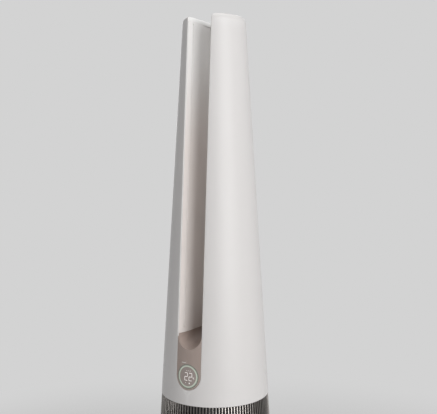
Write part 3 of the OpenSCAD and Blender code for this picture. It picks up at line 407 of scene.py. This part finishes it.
lensLook = {"colour": (0.36, 0.30, 0.275, 1), "drift": (0.33, 0.275, 0.25, 1), "grain": 700.0,
            "rough": (0.26, 0.34), "coat": 0.6, "coatRough": 0.06}


def lensMaterial():                   # a smoked front over a taupe field
    material, tree, shader = newMaterial("displayLens")
    surface = placeGroup(tree, mouldedSurface, Grain_Scale=lensLook["grain"])
    drift = surface.outputs["Drift"]
    feed(tree, shader, Base_Color=mixColours(tree, drift, lensLook["colour"], lensLook["drift"]),
         Roughness=scaled(tree, drift, *lensLook["rough"]),
         Coat_Weight=lensLook["coat"], Coat_Roughness=lensLook["coatRough"])
    return material


glows = {          # two shades of the lit plastic, and how strongly it shines
    "ringGlow": {"colour": (0.47, 0.52, 0.44, 1), "drift": (0.52, 0.56, 0.48, 1), "power": 0.20},
    "rimGlow": {"colour": (0.225, 0.24, 0.205, 1), "drift": (0.26, 0.275, 0.235, 1), "power": 0.06},
    "digitGlow": {"colour": (0.80, 0.76, 0.74, 1), "drift": (0.86, 0.82, 0.80, 1), "power": 0.45},
    "lampGlow": {"colour": (0.63, 0.61, 0.58, 1), "drift": (0.68, 0.66, 0.63, 1), "power": 0.12},
}
glowSurface = {"grain": 800.0, "drift": 60.0, "rough": (0.3, 0.42)}


def glowMaterial(name):
    look = glows[name]
    material, tree, shader = newMaterial(name)
    surface = placeGroup(tree, mouldedSurface, Grain_Scale=glowSurface["grain"],
                         Drift_Scale=glowSurface["drift"])
    tint = mixColours(tree, surface.outputs["Drift"], look["colour"], look["drift"])
    feed(tree, shader, Base_Color=tint, Emission_Color=tint, Emission_Strength=look["power"],
         Roughness=scaled(tree, surface.outputs["Grain"], *glowSurface["rough"]))
    return material


circuitLook = {"mask": (0.012, 0.11, 0.055, 1), "track": (0.03, 0.20, 0.10, 1), "tracks": 160.0,
               "gap": 0.03, "soft": 0.1, "specks": 400.0, "rough": (0.25, 0.45), "depth": 0.00004}


def circuitMaterial():                # solder mask with copper tracks under it
    material, tree, shader = newMaterial("circuitBoard")
    place = objectPlace(tree)
    tracks = feed(tree, addNode(tree, "TexBrick"), Vector=place, Scale=circuitLook["tracks"],
                  Mortar_Size=circuitLook["gap"], Mortar_Smooth=circuitLook["soft"]).outputs["Fac"]
    speck = feed(tree, addNode(tree, "TexNoise"), Vector=place, Scale=circuitLook["specks"])
    colour = mixColours(tree, tracks, circuitLook["mask"], circuitLook["track"])
    feed(tree, shader, Base_Color=colour,
         Roughness=scaled(tree, speck.outputs["Fac"], *circuitLook["rough"]),
         Normal=bumpFrom(tree, tracks, circuitLook["depth"]))
    return material


paperLook = {"colour": (0.014, 0.014, 0.015, 1), "cloud": (0.024, 0.024, 0.025, 1),
             "fibre": (0.045, 0.045, 0.045, 1), "fibres": 1800.0, "clouds": 45.0, "fibreShare": 0.5,
             "rough": (0.85, 0.98), "depth": 0.00012, "shine": 0.1}


def paperMaterial():                  # charcoal-loaded filter paper
    material, tree, shader = newMaterial("filterPaper")
    place = objectPlace(tree)
    fibre = feed(tree, addNode(tree, "TexNoise"), Vector=place, Scale=paperLook["fibres"],
                 Detail=6.0, Roughness=0.7, Distortion=1.5).outputs["Fac"]
    cloud = feed(tree, addNode(tree, "TexNoise"), Vector=place, Scale=paperLook["clouds"],
                 Detail=3.0)
    base = mixColours(tree, cloud.outputs["Fac"], paperLook["colour"], paperLook["cloud"])
    colour = mixColours(tree, scaled(tree, fibre, 0.0, paperLook["fibreShare"]), base,
                        paperLook["fibre"])
    feed(tree, shader, Base_Color=colour, Specular_IOR_Level=paperLook["shine"],
         Roughness=scaled(tree, fibre, *paperLook["rough"]),
         Normal=bumpFrom(tree, fibre, paperLook["depth"]))
    return material


webbingLook = {"dark": (0.16, 0.14, 0.13, 1), "light": (0.27, 0.24, 0.22, 1), "rows": 220.0,
               "ribs": 160.0, "rough": (0.75, 0.9), "depth": 0.0002}


def webbingMaterial():                # the filter's pull strap
    material, tree, shader = newMaterial("strapWebbing")
    place = objectPlace(tree)
    row = feed(tree, addNode(tree, "TexWave", bands_direction="Z"), Vector=place,
               Scale=webbingLook["rows"], Distortion=0.6, Detail=1.0)
    rib = feed(tree, addNode(tree, "TexWave", bands_direction="X"), Vector=place,
               Scale=webbingLook["ribs"])
    product = addNode(tree, "Math", operation="MULTIPLY")
    tree.links.new(row.outputs["Fac"], product.inputs[0])
    tree.links.new(rib.outputs["Fac"], product.inputs[1])
    weave = product.outputs[0]
    colour = mixColours(tree, weave, webbingLook["dark"], webbingLook["light"])
    feed(tree, shader, Base_Color=colour, Roughness=scaled(tree, weave, *webbingLook["rough"]),
         Normal=bumpFrom(tree, weave, webbingLook["depth"]))
    return material


finishes = {
    "white_shell": mouldedMaterial("satinWhite"),
    "inner_shell": mouldedMaterial("satinIvory"),
    "taupe_trim": mouldedMaterial("satinTaupe"),
    "smoked_lens": lensMaterial(),
    "light_guide": glowMaterial("ringGlow"),
    "silver_slat": metalMaterial("slatMetal"),
    "dark_plastic": mouldedMaterial("mattBlack"),
    "grey_plastic": mouldedMaterial("mattGrey"),
    "acetal": mouldedMaterial("acetalWhite"),
    "steel": metalMaterial("plateSteel"),
    "motor_can": metalMaterial("motorCan"),
    "rubber": mouldedMaterial("footRubber"),
    "circuit_board": circuitMaterial(),
    "filter_paper": paperMaterial(),
    "strap_webbing": webbingMaterial(),
}
rimGlow = glowMaterial("rimGlow")
digitGlow = glowMaterial("digitGlow")
lampGlow = glowMaterial("lampGlow")
for name, node in nodes.items():
    node.data.materials.clear()
    node.data.materials.append(finishes[slotOf[name]])
print("materials ready:", len(finishes))


footLow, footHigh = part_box("foot_shell")
coverLow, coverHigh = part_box("right_outer_cover")
capLow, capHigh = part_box("right_top_cap")
fasciaLow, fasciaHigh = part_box("front_fascia")

tower = {
    "wall": 0.0025,
    "seam": 0.0003,
    "crown": 0.009,               # rounding of the wings' top edges
    "capDrop": 0.00028,           # the caps close most of the seam under them
    "flareDepth": 0.045,          # lead-in behind the front edge of the slot
    "rearFlareDepth": 0.034,
    "touch": 0.0001,              # heights closer than this are the same
}
tower["slotHalf"] = fasciaHigh.x + tower["seam"]
tower["fasciaArc"] = fasciaLow.z + fasciaHigh.x
tower["throatHalf"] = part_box("right_front_panel")[0].x
tower["lipHalf"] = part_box("right_rear_panel")[0].x


def coneRadius(z):
    share = (z - footLow.z) / (coverLow.z - footLow.z)
    return footHigh.x + (coverHigh.x - footHigh.x) * share


def edgeY(z):                         # how far the slot's edge stands from the middle
    return sqrt(coneRadius(z) ** 2 - tower["slotHalf"] ** 2)


def flareRadius(depth, half):
    step = tower["slotHalf"] - half
    return (depth ** 2 + step ** 2) / (2 * step)


coverLook = {
    "columns": 72,
    "lowRows": 6,                 # rows of faces below the opening
    "arcRows": 22,                # up the opening's round end
    "wingRows": 44,
    "rounding": 0.0010,           # of the opening's outer edge
    "innerRounding": 0.0005,
    "roundingSteps": 3,
    "seamHalf": 0.00004,          # half the joint between the covers, below the opening
    "rimSharp": 50,               # degrees from which an edge is a rim
}


def openingHalf(z):                   # half the width of the opening in the covers at a height
    drop = tower["fasciaArc"] - z
    half = tower["slotHalf"]
    if drop > 0:
        half = sqrt(max(half ** 2 - drop ** 2, 0))
    return max(half, coverLook["seamHalf"])


def coverHeights():
    arcStart = tower["fasciaArc"] - tower["slotHalf"]
    low, arc, wing = (coverLook[key] for key in ("lowRows", "arcRows", "wingRows"))
    heights = [coverLow.z + (arcStart - coverLow.z) * i / low for i in range(low)]
    heights += [tower["fasciaArc"] - tower["slotHalf"] * cos(pi / 2 * i / arc) for i in range(arc)]
    rise = coverHigh.z - tower["fasciaArc"]
    heights += [tower["fasciaArc"] + rise * i / wing for i in range(wing + 1)]
    return heights


def isRim(edge):                      # a sharp edge, but not at the cap or the lower seam
    if len(edge.link_faces) != 2 or not isSharp(edge, coverLook["rimSharp"]):
        return False
    low = min(vert.co.z for vert in edge.verts)
    aside = max(abs(vert.co.x) for vert in edge.verts)
    return low < coverHigh.z - tower["touch"] and aside > 10 * coverLook["seamHalf"]


def isOutside(edge):
    middle = (edge.verts[0].co + edge.verts[1].co) / 2
    return middle.xy.length > coneRadius(middle.z) - tower["wall"] / 2


def bevelEdges(bm, edges, width, steps):
    return bmesh.ops.bevel(bm, geom=edges, offset=width, segments=steps, profile=0.5,
                           affect="EDGES", material=-1)["faces"]


def roundRims(bm):                    # wide rounding outside, a small one inside
    for outside, width in ((True, coverLook["rounding"]), (False, coverLook["innerRounding"])):
        rims = [edge for edge in bm.edges if isRim(edge) and isOutside(edge) == outside]
        bevelEdges(bm, rims, width, coverLook["roundingSteps"])


def sideName(side):
    return "right" if side > 0 else "left"


def buildCover(side):
    heights = coverHeights()
    rows = len(heights) - 1
    bm = bmesh.new()
    bmesh.ops.create_grid(bm, x_segments=coverLook["columns"], y_segments=rows, size=0.5)
    for vert in bm.verts:
        z = heights[round((vert.co.y + 0.5) * rows)]
        start = asin(openingHalf(z) / coneRadius(z))
        turn = start + (vert.co.x + 0.5) * (pi - 2 * start)
        vert.co = (side * coneRadius(z) * sin(turn), -coneRadius(z) * cos(turn), z)
    if side < 0:
        bmesh.ops.reverse_faces(bm, faces=bm.faces)
    bm.normal_update()                # the wall is made along the normals
    bmesh.ops.solidify(bm, geom=list(bm.faces), thickness=tower["wall"])
    roundRims(bm)
    name = sideName(side) + "_outer_cover"
    piece = makeObject(name + "_shell", bm, [finishes["white_shell"]],
                       smoothBelow=coverLook["rimSharp"])
    standFor(piece, name)


capLook = {
    "outerSteps": 56,             # faces along each stretch of a wing's outline
    "rearSteps": 12,
    "innerSteps": 4,
    "frontSteps": 14,
    "crownSteps": 9,
    "cornerRounding": 0.0014,
    "cornerSteps": 3,
    "cornerSharp": 28,            # degrees
    "inward": 0.05,               # how far a face leans to the slot to be one of its walls
    "upward": 0.75,               # and how far up it may look
}


# where a circle round the axis meets a circle round centre, at the point next to nearer
def crossing(firstRadius, centre, secondRadius, nearer):
    distance = centre.length
    along = (firstRadius ** 2 - secondRadius ** 2 + distance ** 2) / (2 * distance)
    across = sqrt(firstRadius ** 2 - along ** 2)
    unit = centre / distance
    side = Vector((-unit.y, unit.x))
    points = [unit * along + side * across, unit * along - side * across]
    return min(points, key=lambda point: (point - nearer).length)


def arcPoints(centre, start, end, steps):     # from start towards end, end left out
    first, last = start - centre, end - centre
    turn = first.angle_signed(last)
    spin = [Matrix.Rotation(-turn * i / steps, 2) for i in range(steps)]
    return [centre + rotation @ first for rotation in spin]


def wingOutline(z, inset):            # a wing's edge at a height, pulled in by inset
    edge = edgeY(z)
    outer = coneRadius(z) - inset
    frontArc = flareRadius(tower["flareDepth"], tower["throatHalf"])
    rearArc = flareRadius(tower["rearFlareDepth"], tower["lipHalf"])
    frontCentre = Vector((tower["throatHalf"] + frontArc, tower["flareDepth"] - edge))
    rearCentre = Vector((tower["lipHalf"] + rearArc, edge - tower["rearFlareDepth"]))
    half = tower["slotHalf"]
    front = crossing(outer, frontCentre, frontArc - inset, Vector((half, -edge)))
    rear = crossing(outer, rearCentre, rearArc - inset, Vector((half, edge)))
    frontEnd = frontCentre - Vector((frontArc - inset, 0))
    rearEnd = rearCentre - Vector((rearArc - inset, 0))
    points = arcPoints(Vector((0, 0)), front, rear, capLook["outerSteps"])
    points += arcPoints(rearCentre, rear, rearEnd, capLook["rearSteps"])
    steps = capLook["innerSteps"]
    points += [rearEnd.lerp(frontEnd, i / steps) for i in range(steps)]
    points += arcPoints(frontCentre, frontEnd, front, capLook["frontSteps"])
    return [Vector((point.x, point.y, z)) for point in points]


def addRing(bm, points, side):
    verts = [bm.verts.new((side * point.x, point.y, point.z)) for point in points]
    return [bm.edges.new((verts[i - 1], verts[i])) for i in range(len(verts))]


def buildTopCap(side):
    crown = tower["crown"]
    bm = bmesh.new()
    low = capLow.z - tower["capDrop"]
    rings = [addRing(bm, wingOutline(low, 0), side)]
    for i in range(capLook["crownSteps"] + 1):
        turn = pi / 2 * i / capLook["crownSteps"]
        z = capHigh.z - crown * (1 - sin(turn))
        rings.append(addRing(bm, wingOutline(z, crown * (1 - cos(turn))), side))
    for first, second in zip(rings, rings[1:]):
        bmesh.ops.bridge_loops(bm, edges=first + second)
    for ring in (rings[0], rings[-1]):
        bmesh.ops.contextual_create(bm, geom=ring)
    bmesh.ops.recalc_face_normals(bm, faces=bm.faces)
    corners = [edge for edge in bm.edges if isSharp(edge, capLook["cornerSharp"])
               and max(vert.co.z for vert in edge.verts) > low + tower["touch"]]
    bevelEdges(bm, corners, capLook["cornerRounding"], capLook["cornerSteps"])
    for face in bm.faces:             # the side toward the slot goes on from the inner panels, and so takes their painted light, the paler neutral top
        inward = -side * face.normal.x > capLook["inward"]
        if inward and abs(face.normal.z) < capLook["upward"]:
            face.material_index = 1
    name = sideName(side) + "_top_cap"
    piece = makeObject(name + "_shell", bm, [finishes["white_shell"], finishes["inner_shell"]],
                       smoothBelow=dressing["smooth"])
    standFor(piece, name)


boardLook = {"tipGap": 0.0001}        # left between each board's tip and the middle


def easeTips(name, bm):               # so that the boards meet in the slot without touching
    joint = next(joint for joint in joints if joint["child"] == bodyOf[name])
    centre, axis = Vector(joint["pos_m"]), Vector(joint["axis"])
    shut = Matrix.Rotation(radians(max(joint["range_deg"], key=abs)), 3, axis)
    side = -1 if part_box(name)[0].x < 0 else 1
    for vert in bm.verts:
        met = shut @ (vert.co - centre) + centre
        short = boardLook["tipGap"] - side * met.x
        if short > 0:
            met.x += side * short
            vert.co = shut.inverted() @ (met - centre) + centre


panelRounding = {"panels": 0.0003, "boards": 0.0003, "trough": 0.0005}
for side in (-1, 1):
    buildCover(side)
    buildTopCap(side)
for name in ("left_front_panel", "right_front_panel", "left_rear_panel", "right_rear_panel"):
    dressNode(name, panelRounding["panels"], dressing["trimSharp"])
for name in ("left_guide_board", "right_guide_board"):
    dressNode(name, panelRounding["boards"], dressing["trimSharp"], reshape=easeTips)
dressNode("air_trough", panelRounding["trough"], dressing["trimSharp"])
print("wings built")


grilleLook = {
    "slats": 112,
    "width": 0.0031,
    "depth": 0.0040,
    "inset": 0.0006,              # how far the slats stand behind the body's outside
    "rounding": 0.0006,
    "roundingSteps": 2,
    "hoops": 2,                   # rings behind the slats, between the two end ones
    "hoopWidth": 0.0032,
    "hoopOverlap": 0.0003,        # how far the rings reach into the slats
    "hoopHeight": 0.003,
    "endHoopHeight": 0.009,
    "hoopSteps": 64,
}
grilleLow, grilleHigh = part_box("front_grille")
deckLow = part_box("fan_deck")[0].z
slatPieces = []


def addSlat(bm, turn):
    low, high = grilleLow.z, grilleHigh.z
    made = bmesh.ops.create_cube(bm, size=1)["verts"]
    upright = {edge for vert in made for edge in vert.link_edges
               if abs(edge.verts[0].co.z - edge.verts[1].co.z) > 0.5}
    bmesh.ops.scale(bm, verts=made, vec=(grilleLook["depth"], grilleLook["width"], high - low))
    rounded = bevelEdges(bm, list(upright), grilleLook["rounding"], grilleLook["roundingSteps"])
    verts = {vert for face in rounded for vert in face.verts}
    verts |= {vert for vert in made if vert.is_valid}
    for vert in verts:                # the slat leans in with the body, its ends stay level
        z = vert.co.z + (low + high) / 2
        vert.co.x += coneRadius(z) - grilleLook["inset"] - grilleLook["depth"] / 2
        vert.co.z = z
    bmesh.ops.rotate(bm, verts=list(verts), cent=(0, 0, 0), matrix=Matrix.Rotation(turn, 3, "Z"))


def addHoop(bm, low, high):
    outer = -grilleLook["inset"] - grilleLook["depth"] + grilleLook["hoopOverlap"]
    inner = outer - grilleLook["hoopWidth"]
    corners = ((inner, low), (outer, low), (outer, high), (inner, high))
    face = bm.faces.new([bm.verts.new((coneRadius(z) + step, 0, z)) for step, z in corners])
    bmesh.ops.spin(bm, geom=[face], cent=(0, 0, 0), axis=(0, 0, 1), angle=pi,
                   steps=grilleLook["hoopSteps"], use_duplicate=False)


def buildGrille(name, turn):          # half a turn of slats, and half rings that hold them
    bm = bmesh.new()
    count = grilleLook["slats"]
    for i in range(count // 2):
        addSlat(bm, turn + (i + 0.5) * 2 * pi / count)
    slats = makeObject(name + "_slats", bm, [finishes["silver_slat"]],
                       smoothBelow=dressing["smooth"])
    slatPieces.append(slats)
    standFor(slats, name)
    bm = bmesh.new()
    low, high = grilleLow.z, deckLow - tower["seam"]
    end, tall = grilleLook["endHoopHeight"], grilleLook["hoopHeight"]
    pitch = (high - low - end) / (grilleLook["hoops"] + 1)
    addHoop(bm, low, low + end)
    addHoop(bm, high - end, high)
    for i in range(1, grilleLook["hoops"] + 1):
        middle = low + i * pitch + end / 2
        addHoop(bm, middle - tall / 2, middle + tall / 2)
    bmesh.ops.rotate(bm, verts=bm.verts, cent=(0, 0, 0), matrix=Matrix.Rotation(turn, 3, "Z"))
    bmesh.ops.recalc_face_normals(bm, faces=bm.faces)
    hoops = makeObject(name + "_hoops", bm, [finishes["dark_plastic"]],
                       smoothBelow=dressing["smooth"])
    standFor(hoops, name)


buildGrille("rear_grille", 0)
buildGrille("front_grille", pi)
print("grille built")


fasciaRounding = 0.0003
for name in ("front_fascia", "rear_fascia"):
    dressNode(name, fasciaRounding, dressing["trimSharp"])
dressNode("display_lens", fasciaRounding)
dressNode("status_lamp", fasciaRounding, finish=lampGlow)

ringLow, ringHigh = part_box("light_ring")
ringLook = {
    "centre": (ringLow.z + ringHigh.z) / 2,
    "rimOuter": 0.02395,
    "bandOuter": 0.0219,
    "bandInner": 0.0191,
    "depth": 0.0003,
    "steps": 96,
}
readoutLook = {                       # places are aside and up from the ring's centre
    "number": "22",
    "numberPlace": (0.0016, -0.0002),
    "digitWidth": 0.0066,
    "digitHeight": 0.0148,
    "digitPitch": 0.0100,
    "stroke": 0.0011,
    "strokeGap": 0.0005,              # between two strokes that follow each other
    "unitRings": ((0.0122, -0.0008), (0.0146, -0.0036)),
    "unitRing": (0.0008, 0.0004),     # outer and inner radius
    "unitBar": ((0.0134, -0.0022), (0.0034, 0.0007)),
    "unitTurn": -55,
    "airBars": (((-0.0042, -0.0128), (0.0013, 0.0013)), ((0.0046, -0.0130), (0.0026, 0.0022))),
    "modeRings": ((-0.0032, 0.0115), (0.0012, 0.0115), (0.0056, 0.0115)),
    "modeRing": (0.0009, 0.0005),
    "ringSteps": 24,
    "lensInset": 0.0003,              # how far the lens lies behind the body's outside
    "proud": 0.00012,                 # and how far the marks stand out of the lens
}


def wrapOnBody(bm, height):           # flat marks in X and Z are wrapped round the body
    for vert in bm.verts:
        radius = coneRadius(vert.co.z) + height
        vert.co.y = -sqrt(radius ** 2 - vert.co.x ** 2)
    bmesh.ops.recalc_face_normals(bm, faces=bm.faces)
    if sum(face.normal.y * face.calc_area() for face in bm.faces) > 0:
        bmesh.ops.reverse_faces(bm, faces=bm.faces)


def addRingFace(bm, place, outer, inner, steps):
    across, up = place
    upright = Matrix.Translation((across, 0, up)) @ Matrix.Rotation(pi / 2, 4, "X")
    loops = []
    for radius in (outer, inner):
        made = bmesh.ops.create_circle(bm, cap_ends=False, segments=steps, radius=radius,
                                       matrix=upright)["verts"]
        loops += list({edge for vert in made for edge in vert.link_edges})
    bmesh.ops.bridge_loops(bm, edges=loops)


def addBar(bm, place, size, turn=0):
    across, up = place
    upright = (Matrix.Translation((across, 0, up)) @ Matrix.Rotation(radians(turn), 4, "Y")
               @ Matrix.Rotation(pi / 2, 4, "X") @ Matrix.Diagonal((*size, 1, 1)))
    bmesh.ops.create_grid(bm, x_segments=3, y_segments=1, size=0.5, matrix=upright)


strokes = {        # the seven strokes of a digit, between the corners of a 1 by 2 grid
    "top": ((-0.5, 0.5), (0.5, 0.5)), "upperRight": ((0.5, 0.5), (0.5, 0)),
    "middle": ((0.5, 0), (-0.5, 0)), "lowerLeft": ((-0.5, 0), (-0.5, -0.5)),
    "bottom": ((-0.5, -0.5), (0.5, -0.5)), "upperLeft": ((-0.5, 0.5), (-0.5, 0)),
    "lowerRight": ((0.5, 0), (0.5, -0.5)),
}
unlit = {          # the strokes that each digit leaves dark
    "0": ("middle",), "1": ("top", "middle", "lowerLeft", "bottom", "upperLeft"),
    "2": ("upperLeft", "lowerRight"), "3": ("upperLeft", "lowerLeft"),
    "4": ("top", "bottom", "lowerLeft"), "5": ("upperRight", "lowerLeft"), "6": ("upperRight",),
    "7": ("middle", "lowerLeft", "bottom", "upperLeft"), "8": (), "9": ("lowerLeft",),
}


def addDigit(bm, digit, across, up):
    width, height, stroke, gap = (readoutLook[key] for key in
                                  ("digitWidth", "digitHeight", "stroke", "strokeGap"))
    for name, ends in strokes.items():
        if name in unlit[digit]:
            continue
        first, second = (Vector((across + end[0] * width, up + end[1] * height)) for end in ends)
        length = (second - first).length - gap
        size = (stroke, length) if first.x == second.x else (length, stroke)
        addBar(bm, (first + second) / 2, size)


def buildReadout():
    bm = bmesh.new()
    look = readoutLook
    aside, up = look["numberPlace"]
    for i, digit in enumerate(look["number"]):
        step = i - (len(look["number"]) - 1) / 2
        addDigit(bm, digit, aside + step * look["digitPitch"], up)
    for place in look["unitRings"]:
        addRingFace(bm, place, *look["unitRing"], look["ringSteps"])
    addBar(bm, *look["unitBar"], look["unitTurn"])
    for place, size in look["airBars"]:
        addBar(bm, place, size)
    for place in look["modeRings"]:
        addRingFace(bm, place, *look["modeRing"], look["ringSteps"])
    bmesh.ops.translate(bm, verts=bm.verts, vec=(0, 0, ringLook["centre"]))
    wrapOnBody(bm, look["proud"] - look["lensInset"])
    piece = makeObject("display_readout", bm, [digitGlow])
    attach(piece, "tower")


def buildRingBand(name, outer, inner, material):
    bm = bmesh.new()
    addRingFace(bm, (0, ringLook["centre"]), outer, inner, ringLook["steps"])
    wrapOnBody(bm, 0)
    bm.normal_update()
    bmesh.ops.solidify(bm, geom=list(bm.faces), thickness=ringLook["depth"])
    return makeObject(name, bm, [material], smoothBelow=dressing["smooth"])


band = buildRingBand("light_ring_band", ringLook["bandOuter"], ringLook["bandInner"],
                     finishes["light_guide"])
standFor(band, "light_ring")
rim = buildRingBand("light_ring_rim", ringLook["rimOuter"], ringLook["bandOuter"], rimGlow)
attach(rim, "tower")
buildReadout()
print("fascia built")


lowerRounding = {"shell": 0.0006, "rubber": 0.0008, "inside": 0.0006}
for name in ("lower_skirt", "foot_shell", "cover_release"):
    dressNode(name, lowerRounding["shell"])
for name in ("rubber_feet", "cord_gland"):
    dressNode(name, lowerRounding["rubber"])
for name in ("filter_top_cap", "filter_bottom_cap", "bellmouth", "filter_floor"):
    dressNode(name, lowerRounding["inside"])
print("lower body built")


placeCamera()
for name, look in studio["lamps"].items():
    lamp = placeLamp(name, look)
    if name in studio["sheens"]:
        aimAtSlats(lamp)
buildWorld()
buildFloor()
bpy.context.scene.view_settings.view_transform = "Standard"

print("scene ready")
